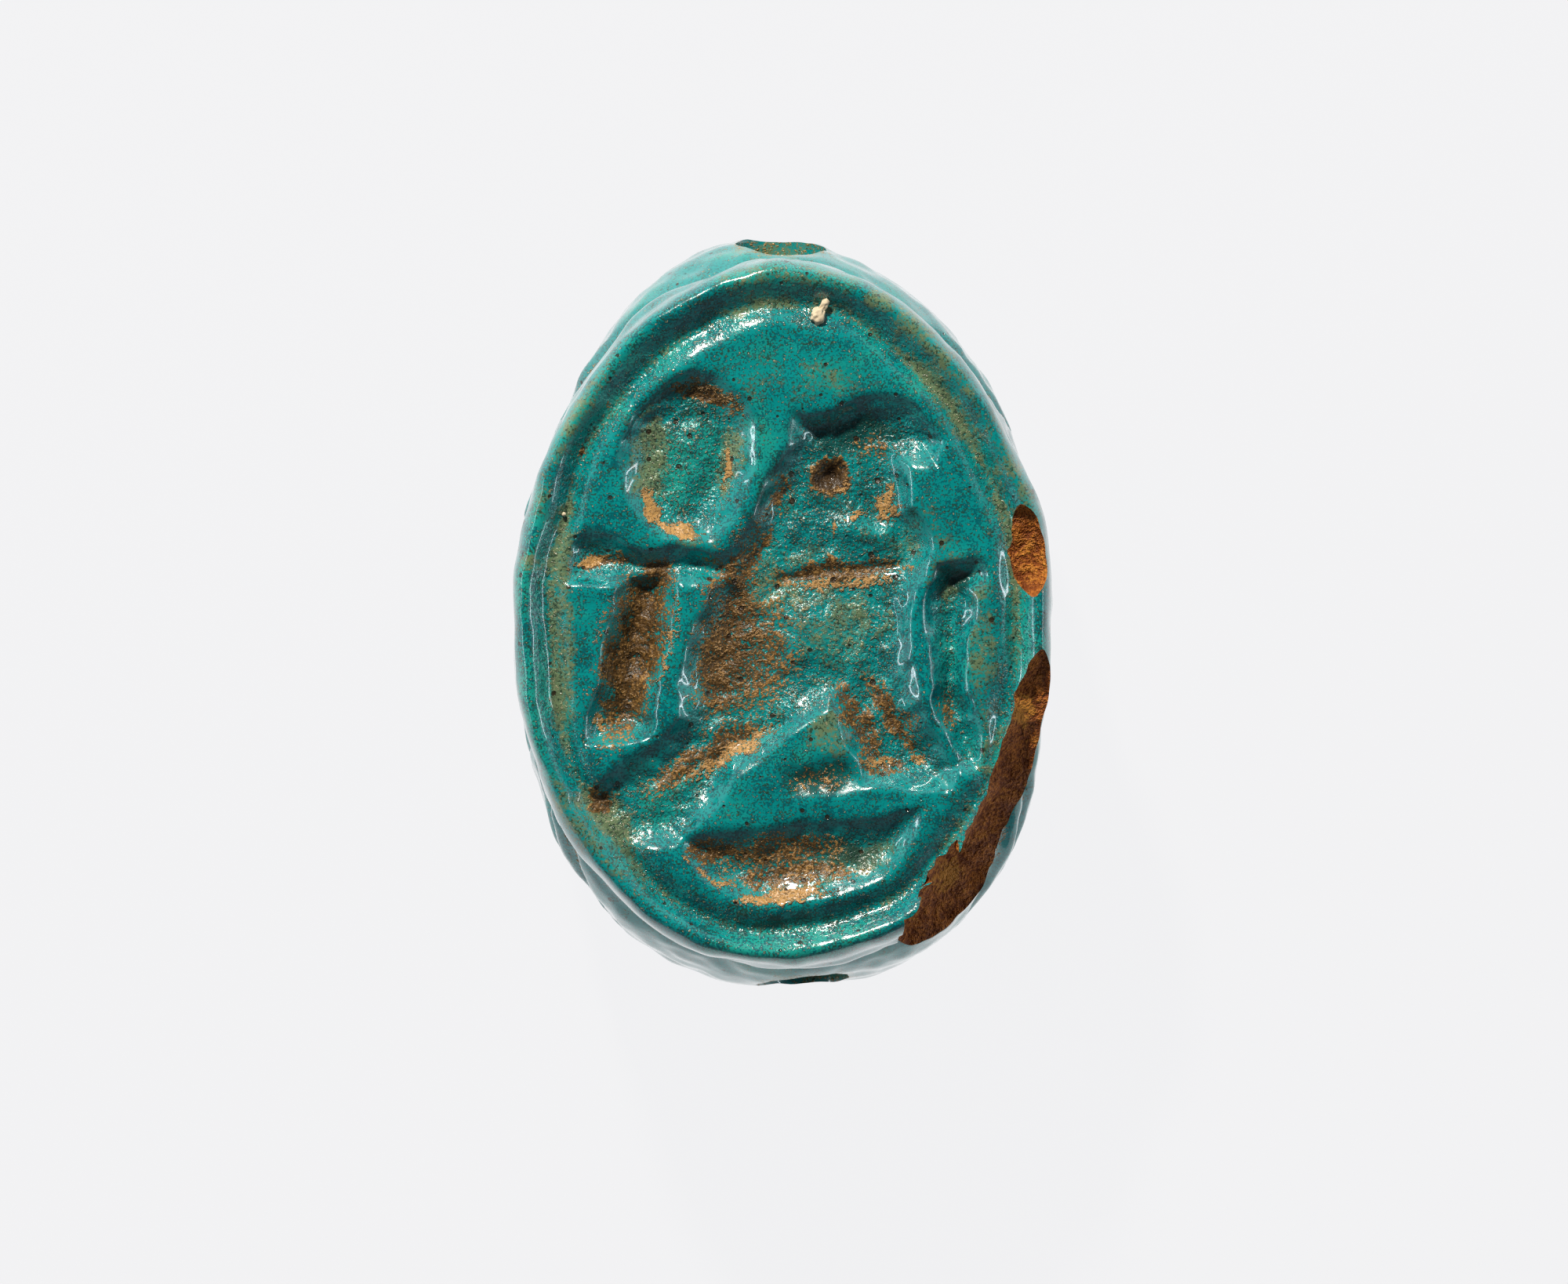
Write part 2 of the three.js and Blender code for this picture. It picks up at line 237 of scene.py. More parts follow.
# ---- The beetle's back and legs ----
# The beetle is on the underside as the amulet lies. Lines pressed round its head, collar and wing
# cases, and the hollows between its folded legs, are shallow and softened by the glaze.
def back_height(share):
    q = np.clip((share - REST_SHARE) / (1 - REST_SHARE), 0, 1)
    return BACK_EDGE * (1 - np.sqrt(1 - q * q))


def on_back(x, y):
    power, reach = (body.head_power, body.head) if y > 0 else (body.tail_power, body.tail)
    share = (abs(x / body.width) ** power + abs(y / reach) ** power) ** (1 / power)
    return (x, y, float(back_height(min(share, 1))))


def on_side(side, y, z):
    power, reach = (body.head_power, body.head) if y > 0 else (body.tail_power, body.tail)
    inset = 0.2 * (z - BACK_EDGE)
    x = (body.width - inset) * (1 - min(1, abs(y / (reach - inset))) ** power) ** (1 / power)
    return (side * x, y, z)


def pressed_lines():
    """The lines as runs of points, each with half its width."""
    lines = [
        ([on_back(x, 2.8 - 0.035 * x * x) for x in np.linspace(-4.9, 4.9, 14)], 0.36),
        ([on_back(x, 5.0 - 0.05 * x * x) for x in np.linspace(-3.4, 3.4, 10)], 0.34),
        ([on_back(0, y) for y in np.linspace(2.7, -7.4, 12)], 0.3),
    ]
    for side in (1, -1):
        lines.append(([on_back(side * x, y) for x, y in ((2.4, 2.2), (3.2, 1.5), (4.2, 1.4))], 0.26))
        lines.append(([on_back(side * x, y) for x, y in ((1.0, 7.5), (0.85, 6.7), (0.75, 5.7))], 0.28))
        lines.append(([on_side(side, y, BACK_EDGE - 0.15) for y in np.linspace(4.9, -5.2, 14)], 0.28))
        for start, sweep in zip((6.1, 4.2, 2.2, 0.4, -1.7, -3.4), (2.3, 2.4, 3.3, 3.3, 3.2, 2.8)):
            run = [on_side(side, start - s * sweep, 5.2 - 1.7 * s ** 1.3) for s in np.linspace(0, 1, 8)]
            lines.append((run, 0.33))
    return lines


def pressed_depth(places):
    """How deep the lines are pressed, at many places on the back and sides."""
    depths = []
    for run, radius in pressed_lines():
        run = np.array(run)
        for number, (start, end) in enumerate(zip(run[:-1], run[1:])):
            way = end - start
            along = np.clip((places - start) @ way / (way @ way), 0, 1)
            off = np.linalg.norm(places - start - along[:, None] * way, axis=1)
            through = (number + along) / (len(run) - 1)
            width = radius * np.clip(np.sin(np.pi * through), 0.12, 1) ** 0.5
            depths.append(0.75 * width * np.clip(1 - (off / (1.25 * width)) ** 2, 0, 1) ** 1.5)
    return deepest(depths)


# ---- The amulet's mesh ----
# The carved face starts as a square grid, drawn out to the oval inside the groove. Rings round it
# make the border, the edge of the plate, the band of legs and the domed back, down to the flat
# spot on which the amulet lies.
def loop_edges(mesh):
    """The open edges, which the next ring grows from."""
    return [e for e in mesh.edges if e.is_boundary]


def ring_rows():
    """The rows of the side and back, from the border's edge down: plan share, inset, height, size."""
    keys = [(0, 0, 6.25, 1), (0, 0, 5.75, 1), (0, 0.06, 5.45, 1), (0.4, 0.22, 5.27, 1),
            (0.9, 0.34, 5.15, 1), (1, 0.27, 4.95, 1), (1, 0.12, 4.5, 1), (1, 0.03, 3.9, 1),
            (1, 0, BACK_EDGE, 1)]
    for _ in range(3):
        middle = [tuple(0.75 * a + 0.25 * b for a, b in zip(p, q)) for p, q in zip(keys, keys[1:])]
        later = [tuple(0.25 * a + 0.75 * b for a, b in zip(p, q)) for p, q in zip(keys, keys[1:])]
        keys = [keys[0], *(row for pair in zip(middle, later) for row in pair), keys[-1]]
    dome_rows = 38
    for row in range(1, dome_rows + 1):
        lean = math.pi / 2 * (1 - row / dome_rows)
        size = REST_SHARE + (1 - REST_SHARE) * math.sin(lean)
        keys.append((1, 0, BACK_EDGE * (1 - math.cos(lean)), size))
    return keys


FIELD_INSET = 1.32
BORDER_ROWS = 22

shell = bmesh.new()
bmesh.ops.create_grid(shell, x_segments=150, y_segments=206, size=1)
turns = shell.verts.layers.float.new("turn")
for vert in shell.verts:
    u, v = vert.co.x, vert.co.y
    across, along = u * math.sqrt(1 - v * v / 2), v * math.sqrt(1 - u * u / 2)
    vert[turns] = math.atan2(along, across)
    vert.co = plate.point(vert[turns], FIELD_INSET) * math.hypot(across, along)

for row in range(1, BORDER_ROWS + 1):
    inset = FIELD_INSET * (1 - row / BORDER_ROWS)
    made = bmesh.ops.extrude_edge_only(shell, edges=loop_edges(shell))
    for vert in (g for g in made["geom"] if isinstance(g, bmesh.types.BMVert)):
        vert.co = plate.point(vert[turns], inset)

face_verts = list(shell.verts)
x, y = (np.array([v.co[axis] for v in face_verts]) for axis in (0, 1))
for vert, height in zip(face_verts, carved_height(x, y)):
    vert.co.z = height
edge_verts = {v for v in face_verts if v.is_boundary}
inner_verts = [v for v in face_verts if v not in edge_verts]
for _ in range(4):
    bmesh.ops.smooth_vert(shell, verts=inner_verts, factor=0.5, use_axis_z=True,
                          use_axis_x=False, use_axis_y=False)

# Below the third ring the mesh has half as many columns, which is enough for the plain sides.
side_verts = []
for number, (share, inset, height, size) in enumerate(ring_rows()[1:]):
    made = bmesh.ops.extrude_edge_only(shell, edges=loop_edges(shell))
    ring = [g for g in made["geom"] if isinstance(g, bmesh.types.BMVert)]
    for vert in ring:
        place = plate.point(vert[turns], inset).lerp(body.point(vert[turns], inset), share)
        vert.co = place * size
        vert.co.z = height
    side_verts += ring
    if number == 2:
        ring.sort(key=lambda v: v[turns])
        side_verts = [v for v in side_verts if v not in set(ring[1::2])]
        bmesh.ops.dissolve_verts(shell, verts=ring[1::2])
bmesh.ops.contextual_create(shell, geom=loop_edges(shell))
bmesh.ops.recalc_face_normals(shell, faces=shell.faces)
shell.normal_update()

# The sides are uneven, and fuller in these directions: degrees, spread, and how much.
FULLER = [(-52, 38, 0.2), (112, 34, 0.15), (-88, 28, 0.1)]
for vert, depth in zip(side_verts, pressed_depth(np.array([v.co for v in side_verts]))):
    fade = float(ease(vert.co.z / 0.5) * ease((6.2 - vert.co.z) / 0.6))
    lumps = 0.08 * noise.noise(vert.co / 1.3) + 0.035 * noise.noise(vert.co / 0.45) - 0.01
    heading = math.degrees(math.atan2(vert.co.y, vert.co.x))
    fuller = sum(amount * float(ease(1 - abs(heading - middle) / spread))
                 for middle, spread, amount in FULLER)
    vert.co += vert.normal * fade * (lumps + fuller - depth)

amulet_mesh = bpy.data.meshes.new("scarab_body")
shell.to_mesh(amulet_mesh)
shell.free()
amulet = bpy.data.objects.new("scarab_body", amulet_mesh)
bpy.context.collection.objects.link(amulet)
GLAZE_SLOT, CORE_SLOT, GRAIN_SLOT = 0, 1, 2
glaze = bpy.data.materials.new("turquoise_glaze")
core = bpy.data.materials.new("broken_core")
amulet_mesh.materials.append(glaze)
amulet_mesh.materials.append(core)


# ---- The hole for the thread and the broken places ----
# The hole runs right through from head to tail. The border is broken away at the lower right,
# and a flake is off it higher up, both down to the brown quartz core.
def cutter(path, sides, rough, slot):
    """Takes a round, tapering form along a path out of the amulet: places with their radii."""
    tube = bmesh.new()
    around = tube.verts.layers.float.new("around")
    for number, (middle, radius) in enumerate(path):
        ahead = path[min(number + 1, len(path) - 1)][0] - path[max(number - 1, 0)][0]
        across = ahead.cross(Vector((0, 0, 1))).normalized()
        up = across.cross(ahead).normalized()
        if number == 0:
            ring = bmesh.ops.create_circle(tube, cap_ends=True, segments=sides, radius=1)["verts"]
            for vert in ring:
                vert[around] = math.atan2(vert.co.y, vert.co.x)
        else:
            rim = [e for e in tube.edges if e.is_boundary] or list(tube.edges)
            made = bmesh.ops.extrude_edge_only(tube, edges=rim)
            ring = [g for g in made["geom"] if isinstance(g, bmesh.types.BMVert)]
        for vert in ring:
            spoke = across * math.cos(vert[around]) + up * math.sin(vert[around])
            place = middle + spoke * radius
            lumps = noise.noise(place / 0.5) + 0.6 * noise.noise(place / 0.24)
            vert.co = place + spoke * rough * min(radius, 1) * lumps
    bmesh.ops.contextual_create(tube, geom=[e for e in tube.edges if e.is_boundary])
    bmesh.ops.recalc_face_normals(tube, faces=tube.faces)
    for face in tube.faces:
        face.material_index = slot
    mesh = bpy.data.meshes.new("cutter")
    tube.to_mesh(mesh)
    tube.free()
    mesh.materials.append(glaze)
    mesh.materials.append(core)
    return bpy.data.objects.new("cutter", mesh)


def along_border(stations, steps):
    """A path round the border from stations: turn in degrees, inset, height and radius."""
    table = np.array(stations)
    order = np.argsort(table[:, 0])
    path = []
    for turn in np.linspace(table[0, 0], table[-1, 0], steps):
        inset, height, radius = (np.interp(turn, table[order, 0], table[order, k]) for k in (1, 2, 3))
        place = plate.point(math.radians(turn), inset)
        place.z = height
        path.append((place, radius))
    return path


break_path = along_border([(-5, 0.08, 6.9, 0.15), (-8, 0.12, 6.85, 0.42), (-12.5, 0.1, 6.75, 0.6),
                           (-18, 0, 6.7, 0.66), (-25, -0.15, 6.55, 0.9), (-32, -0.5, 6.4, 1.2),
                           (-40, -0.8, 6.25, 1.45), (-46, -0.82, 6.1, 1.62), (-54, -0.95, 6.1, 1.6),
                           (-60, -0.85, 6.15, 1.42), (-66, -0.7, 6.3, 1.12)], 120)
flake_path = along_border([(22, 0.5, 7.0, 0.15), (17, 0.55, 6.9, 0.45), (12, 0.5, 6.86, 0.55),
                           (7.5, 0.5, 6.88, 0.52), (3.5, 0.45, 7.0, 0.2)], 40)

BORE_HEIGHT = 4.0


def bore_shift(y):
    """How far to the side the hole's axis lies, as it runs a little askew."""
    return 0.19 - 0.032 * y


bore_path = [(Vector((bore_shift(y), y, BORE_HEIGHT)), 0.8 + 0.15 * float(ease((abs(y) - 5.5) / 1.7)))
             for y in np.linspace(-8, 8, 90)]
cuts = [(bore_path, 48, 0.03, GLAZE_SLOT), (break_path, 64, 0.1, CORE_SLOT),
        (flake_path, 48, 0.1, CORE_SLOT)]
for path, sides, rough, slot in cuts:
    tool = cutter(path, sides, rough, slot)
    bpy.context.collection.objects.link(tool)
    cut = amulet.modifiers.new("cut", "BOOLEAN")
    cut.operation, cut.object, cut.solver = "DIFFERENCE", tool, "MANIFOLD"
    result = bpy.data.meshes.new_from_object(amulet.evaluated_get(bpy.context.evaluated_depsgraph_get()))
    amulet.modifiers.clear()
    amulet.data = result
    bpy.data.objects.remove(tool)
amulet_mesh = amulet.data
amulet_mesh.name = "scarab_body"


# ---- Grains stuck on the glaze ----
# A crumb of pale lime and a few grains of sand have stayed stuck in the groove and beside it.
# Each is given by its place, half sizes and turn in degrees.
GRAINS = [
    ((0.73, 6.03, 6.62), (0.13, 0.17, 0.1), 10), ((0.83, 6.23, 6.56), (0.08, 0.15, 0.08), -25),
    ((4.37, -0.1, 6.52), (0.07, 0.08, 0.06), 0), ((3.75, -3.37, 6.5), (0.06, 0.07, 0.06), 0),
    ((-4.45, 2.0, 6.45), (0.04, 0.05, 0.04), 0),
]
grain = bpy.data.materials.new("stuck_grain")
grain.use_nodes = True
grain_shader = grain.node_tree.nodes["Principled BSDF"]
grain_shader.inputs["Base Color"].default_value = (0.72, 0.6, 0.42, 1)
grain_shader.inputs["Roughness"].default_value = 0.7
amulet_mesh.materials.append(grain)

stuck = bmesh.new()
stuck.from_mesh(amulet_mesh)
for place, radii, tilt in GRAINS:
    turned = Matrix.Translation(place) @ Matrix.Rotation(math.radians(tilt), 4, "Z")
    made = bmesh.ops.create_icosphere(stuck, subdivisions=4, radius=1,
                                      matrix=turned @ Matrix.Diagonal((*radii, 1)))["verts"]
    for vert in made:
        vert.co += (vert.co - Vector(place)) * 0.35 * noise.noise(vert.co / 0.07)
    for face in {face for vert in made for face in vert.link_faces}:
        face.material_index = GRAIN_SLOT
stuck.to_mesh(amulet_mesh)
stuck.free()


# ---- Where the amulet is stained, and where shade and highlights are painted ----
# Brown earth has stayed in the deep and narrow places, with pale orange crusts on it. The glaze has
# greyed to olive in patches and lies thin and pale on some stretches, where painted highlights are
# added as well. Painted shade darkens the shadowed corners and floors of the hollows.
# Each patch is an oval: middle across and along, half sizes, tilt in degrees and strength.
EARTH = [
    (-1.5, 4.45, 0.8, 0.22, -14, 1.2), (-0.95, 4.15, 0.22, 0.3, 20, 1),
    (-0.04, 2.5, 0.17, 0.38, -14, 1), (0.97, 2.73, 0.38, 0.37, 0, 1.7), (2.1, 2.2, 0.22, 0.42, 0, 0.9),
    (1.9, 3.35, 0.4, 0.3, 0, 0.6), (1.1, 0.88, 1.35, 0.24, 6, 1), (-0.75, 1.1, 0.34, 1.2, -32, 0.95),
    (-1.1, -0.5, 0.7, 1.8, -8, 0.95), (-0.6, -0.8, 0.9, 1.3, -8, 0.8),
    (1.55, -2.2, 0.28, 1.1, 27, 0.85), (2.3, -2.1, 0.3, 1.0, 36, 0.95),
    (-3.05, -0.8, 0.62, 1.8, -13, 1.1), (-2.6, 0.75, 0.4, 0.3, 0, 1.1), (-3.75, 1.05, 0.5, 0.17, 12, 1),
    (-3.25, 1.1, 0.25, 0.2, 0, 1), (-1.4, 1.02, 0.26, 0.14, -15, 1.2),
    (-1.5, -2.75, 1.5, 0.22, 30, 0.9), (-2.1, -3.2, 0.9, 0.2, 38, 0.8),
    (-3.68, -3.8, 0.24, 0.3, -20, 1.1), (0.75, -3.3, 0.7, 0.24, 6, 0.6), (2.0, -3.1, 0.6, 0.16, 0, 0.8),
    (-1.4, -4.75, 0.6, 0.25, 4, 1), (-0.1, -4.75, 1.3, 0.4, 3, 0.85), (0.2, -5.3, 1.4, 0.28, 3, 0.9),
    (-3.48, 4.18, 0.08, 0.1, 0, 1.2), (-4.02, 3.33, 0.07, 0.07, 0, 1.2),
    (-0.69, 4.15, 0.07, 0.07, 0, 1.2), (3.3, -1.95, 0.25, 0.5, 15, 0.6),
]
TAN = [
    (-2.7, 2.15, 0.15, 0.42, 22, 1.1), (-2.15, 1.65, 0.5, 0.15, -14, 1.1),
    (-1.1, 2.95, 0.1, 0.4, -12, 0.9), (-0.85, 4.2, 0.08, 0.3, 10, 0.7),
    (-3.9, 1.02, 0.35, 0.12, 14, 1.1), (2.1, 2.2, 0.17, 0.38, 0, 0.95), (1.5, 2.0, 0.32, 0.07, 8, 0.9),
    (1.07, 1.7, 0.07, 0.16, 0, 0.9), (1.15, 0.64, 1.2, 0.13, 6, 0.8), (-0.9, -0.6, 0.6, 1.6, -8, 0.42),
    (-2.3, -0.6, 0.12, 1.2, -12, 0.62), (0.0, -5.72, 1.0, 0.16, 3, 1.0),
    (-1.3, -5.35, 0.5, 0.1, -32, 0.8), (-1.0, -2.78, 1.1, 0.2, 30, 0.85),
    (1.22, 2.52, 0.2, 0.07, 45, 0.8), (1.9, -3.0, 0.4, 0.12, 0, 0.85), (2.8, -2.95, 0.2, 0.12, 0, 0.9),
    (-3.7, -2.2, 0.12, 0.2, 0, 0.9), (3.5, -5.5, 0.3, 0.5, 40, 0.7), (4.85, -2.0, 0.2, 0.45, 0, 0.8),
    (-1.5, 4.5, 0.75, 0.13, -14, 0.6), (-0.85, 1.75, 0.15, 0.4, -30, 0.5),
]
OLIVE = [
    (0.2, 6.3, 3.2, 0.4, 0, 0.5), (0.4, 6.8, 2.4, 0.22, 0, 0.7), (3.2, 4.9, 0.5, 2.2, 32, 0.9),
    (4.7, 2.2, 0.4, 2.2, 6, 0.9), (0.3, 4.75, 1.6, 0.5, -4, 0.5), (-4.3, 3.8, 0.4, 2.0, -22, 0.7),
    (-4.45, 0, 0.25, 3.2, 0, 0.8), (-3.9, -4.2, 1.0, 0.7, -40, 0.9), (1.0, -2.35, 0.6, 0.5, 0, 1),
    (4.0, -0.6, 0.3, 1.6, 4, 1), (3.3, 0.7, 0.6, 0.5, 0, 0.8), (2.9, 1.6, 0.6, 0.7, 0, 0.5),
    (-3.2, -5.2, 0.9, 0.3, -40, 0.6), (1.0, -5.1, 1.4, 0.4, 10, 0.8), (-1.4, 1.5, 0.8, 0.3, 10, 0.5),
    (4.3, -4.2, 0.5, 1.4, -40, 0.6), (0.4, 0.2, 1.6, 0.9, 0, 0.45), (1.9, 6.35, 0.3, 0.25, -20, 1.2),
    (-5.0, 1.05, 0.3, 0.2, 0, 1.2), (-1.0, 3.1, 0.3, 1.0, -11, 0.8), (-2.75, 3.2, 0.35, 1.1, -11, 1.0),
    (-3.0, 1.9, 0.5, 0.4, 0, 0.4),
]
# Paler, thin glaze in patches, together with painted highlights on the border and on the raised spots
# that catch the lamp.
PALE_GLAZE_AND_HIGHLIGHT = [
    (-1.9, 3.15, 0.75, 1.1, -11, 1), (3.95, -0.3, 0.3, 1.7, 4, 0.8), (3.3, -1.0, 0.3, 1.2, 4, 0.6),
    (-5.1, -0.5, 0.35, 4.5, 0, 0.9), (-3.9, 4.1, 0.4, 2.4, -35, 0.6), (0.3, 6.75, 2.2, 0.35, 0, 0.9),
    (0.5, -6.7, 2.6, 0.4, 6, 1), (5.1, 0.5, 0.3, 3.0, 0, 0.6), (0.9, 4.9, 2.4, 0.7, -10, 0.35),
    (-0.35, 3.0, 0.3, 1.6, 8, 0.5), (-2.7, -4.0, 1.2, 0.4, 35, 0.6), (0.6, -2.6, 1.3, 0.3, 30, 0.5),
]
# Painted shade: the shadowed corners and floors of the hollows, given as ovals that darken the colour.
PAINTED_SHADE_PATCHES = [
    (1.45, 3.55, 1.15, 0.38, 4, 0.9), (-1.9, 4.35, 0.9, 0.28, -11, 0.6),
    (-0.35, 2.4, 0.2, 1.0, -20, 0.6), (3.45, 0.68, 0.45, 0.22, 0, 0.9), (0.3, -6.25, 2.2, 0.16, 4, 0.7),
    (-3.2, -4.9, 0.9, 0.2, -42, 0.5), (0.6, -4.85, 1.7, 0.4, 4, 0.8), (0.75, -3.3, 0.75, 0.3, 6, 1),
    (0.97, 2.73, 0.5, 0.5, 0, 0.7), (-2.9, -2.95, 0.6, 0.2, 28, 0.5), (3.35, -2.0, 0.25, 0.6, 10, 0.5),
    (2.6, 1.9, 0.3, 0.3, 0, 0.5), (-0.6, -1.7, 0.5, 0.3, 10, 0.4),
]


def patches(x, y, ovals):
    """How strongly each place lies in any of the ovals, fading out past their edges."""
    total = np.zeros(x.shape)
    for middle_x, middle_y, long, short, tilt, strength in ovals:
        turn = math.radians(tilt)
        u = (x - middle_x) * math.cos(turn) + (y - middle_y) * math.sin(turn)
        v = (y - middle_y) * math.cos(turn) - (x - middle_x) * math.sin(turn)
        total = np.maximum(total, strength * ease((1.55 - np.hypot(u / long, v / short)) / 1.1))
    return total


places = np.empty(len(amulet_mesh.vertices) * 3)
amulet_mesh.vertices.foreach_get("co", places)
x, y, z = places.reshape(-1, 3).T
inset = plate.inset(x, y)
on_face = (z > 5.7) & (inset > 0.02)
depth = np.where(on_face, carving_depth(x, y), 0)
in_groove = np.where(on_face, ease(1 - np.abs(inset - 0.75) / 0.6), 0)
in_bore = ease((1.35 - np.hypot(x - bore_shift(y), z - BORE_HEIGHT)) / 0.4) * (z < 5.6)
under = np.where(z < 5.7, ease((pressed_depth(np.stack([x, y, z], 1)) - 0.02) / 0.15), 0)
wandering_x, wandering_y = wavering(x, y, 0.16, 0.3, 12.0)
amulet_mesh.shade_smooth()
normal = np.empty(len(amulet_mesh.vertices) * 3)
amulet_mesh.vertices.foreach_get("normal", normal)
normal = normal.reshape(-1, 3).T
steep = ease((1 - normal[2] - 0.06) / 0.22) * on_face * (inset > 0.2)
shaded = steep * ease(-normal[1] / 0.3)
# What the glaze shows at each place, as attributes of the mesh that its material reads.
earth_on_face = patches(wandering_x, wandering_y, EARTH) * on_face * (1 - 0.45 * shaded)
attributes = {
    "hollow": np.clip(depth / 0.45, 0, 1.5),
    "wall": steep,
    "groove": in_groove,
    "earth": np.maximum(earth_on_face, np.maximum(0.4 * in_bore, 0.55 * under)),
    "tan": patches(wandering_x, wandering_y, TAN) * (z > 4.9),
    "face": np.where(on_face, 1.0, 0.0),
    # light: paler glaze in patches, partly painted highlights.
    "light": patches(x, y, PALE_GLAZE_AND_HIGHLIGHT) * on_face,
    # Painted shade in the shadowed corners of the hollows.
    "painted_shade": patches(wandering_x, wandering_y, PAINTED_SHADE_PATCHES) * on_face,
    "olive": np.maximum(patches(x, y, OLIVE) * on_face, np.maximum(0.8 * in_bore, 0.5 * under)),
}
for name, values in attributes.items():
    layer = amulet_mesh.attributes.new(name, "FLOAT", "POINT")
    layer.data.foreach_set("value", values.astype(np.float32))

# Last, the whole amulet is bent a little out of true, and scaled down to metres.
for number, spot in enumerate(places.reshape(-1, 3)):
    spot = Vector(spot)
    bend = 0.1 * noise.noise_vector(spot / 1.7) + 0.03 * noise.noise_vector(spot / 0.5)
    bend.z = 0
    places[3 * number:3 * number + 3] = spot + bend
amulet_mesh.vertices.foreach_set("co", places * MM)
amulet_mesh.set_sharp_from_angle(angle=math.radians(50))
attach(amulet, "root")
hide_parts("scarab")


# ---- The amulet's glaze and core ----
# The glaze is copper turquoise, thick and glossy on the field and thin and gritty in the hollows,
# speckled green and brown where it has aged, with pale gold specks that are partly painted glints.
# The broken core is brown and granular. Both are mixed from noise and from the stains above, and
# the glaze also from the painted shade and painted highlights listed with them.
class Wire:
    """A value in a material's node tree, with ordinary arithmetic."""

    def __init__(self, tree, socket=None):
        self.tree, self.socket = tree, socket

    def node(self, kind, settings, inputs, output=0):
        made = self.tree.nodes.new("ShaderNode" + kind)
        for name, setting in settings.items():
            setattr(made, name, setting)
        for key, given in inputs.items():
            if isinstance(given, Wire):
                self.tree.links.new(given.socket, made.inputs[key])
            else:
                made.inputs[key].default_value = given
        return Wire(self.tree, made.outputs[output])

    def maths(self, operation, *values):
        return self.node("Math", {"operation": operation}, dict(enumerate(values)))

    def __add__(self, other):
        return self.maths("ADD", self, other)

    def __sub__(self, other):
        return self.maths("SUBTRACT", self, other)

    def __rsub__(self, other):
        return self.maths("SUBTRACT", other, self)

    def __mul__(self, other):
        return self.maths("MULTIPLY", self, other)

    def highest(self, other):
        return self.maths("MAXIMUM", self, other)

    def step(self, low, high):
        """Nought below low, one above high, and a soft rise between them."""
        return self.node("MapRange", {"interpolation_type": "SMOOTHSTEP"}, {0: self, 1: low, 2: high})

    def attribute(self, name):
        return self.node("Attribute", {"attribute_name": name}, {}, 2)

    def place(self):
        """The place on the object, in millimetres."""
        spot = self.node("TexCoord", {}, {}, 3)
        return self.node("VectorMath", {"operation": "SCALE"}, {0: spot, 3: 1 / MM})

    def grain(self, place, size, detail=2, shift=0):
        """Noise about nought, with features of that size in millimetres."""
        moved = self.node("VectorMath", {"operation": "ADD"}, {0: place, 1: (shift, shift, shift)})
        return self.node("TexNoise", {}, {"Vector": moved, "Scale": 1 / size, "Detail": detail}) - 0.5

    def mix(self, first, second, factor):
        return self.node("Mix", {"data_type": "RGBA"}, {0: factor, 6: first, 7: second}, 2)


def shader_of(material):
    material.use_nodes = True
    return material.node_tree.nodes["Principled BSDF"], Wire(material.node_tree)


def feed(tree, wire, socket):
    tree.links.new(wire.socket, socket)


TURQUOISE = (0.0, 0.285, 0.285, 1)
DEEP = (0.0, 0.13, 0.15, 1)
PALE = (0.012, 0.36, 0.3, 1)
# Deep green for painted shade.
PAINTED_SHADE_GREEN = (0.005, 0.055, 0.045, 1)
GREY_OLIVE = (0.155, 0.23, 0.12, 1)
DARK_OLIVE = (0.02, 0.055, 0.033, 1)
BROWN = (0.13, 0.068, 0.018, 1)
DARK_BROWN = (0.03, 0.015, 0.004, 1)
OCHRE = (0.5, 0.27, 0.08, 1)
CREAM = (0.72, 0.43, 0.18, 1)
# Pale gold for grains of sand, and for painted glints.
GOLD_GRAIN_AND_GLINT = (0.5, 0.47, 0.28, 1)

CORE_RED = (0.2, 0.05, 0.01, 1)
CORE_BROWN = (0.55, 0.18, 0.03, 1)
CORE_GOLD = (0.62, 0.26, 0.04, 1)

shader, wire = shader_of(glaze)
tree = glaze.node_tree
place = wire.place()
broad, middling = wire.grain(place, 1.1), wire.grain(place, 0.28, 3, 7)
fine, finest = wire.grain(place, 0.08, 2, 13), wire.grain(place, 0.045, 1, 31)
hollow, groove, wall = wire.attribute("hollow"), wire.attribute("groove"), wire.attribute("wall")
earth, tan, olive = wire.attribute("earth"), wire.attribute("tan"), wire.attribute("olive")
speckle = fine * 1.5 + finest * 1.2

face = wire.attribute("face")
# Paler glaze in the light patches and along the border, partly painted highlights where these catch the
# lamp.
lit = wire.attribute("light") * 0.4 + groove * 0.15
colour = wire.mix(TURQUOISE, PALE, (broad + middling * 0.8 + fine * 0.8 + lit).step(0.0, 0.4))
thick = (middling * 0.9 + speckle * 1.1 - broad * 0.6).step(-0.12, 0.2)
colour = wire.mix(colour, DEEP, thick * (face * 0.35 + 0.65))
greyed = olive * 0.6 + hollow * 0.24 + groove * 0.36 - wall * 0.35
greyed = greyed + broad * 0.7 + middling * 1.2 + speckle * 0.6
colour = wire.mix(colour, GREY_OLIVE, greyed.step(0.26, 0.8))
darkened = (groove + hollow - wall) * 0.12 - broad * 0.4 + middling * 0.8
darkened = darkened + finest * 2 - fine * 1.6 + face * 0.12
colour = wire.mix(colour, DARK_OLIVE, darkened.step(0.22, 0.55) * 0.85)
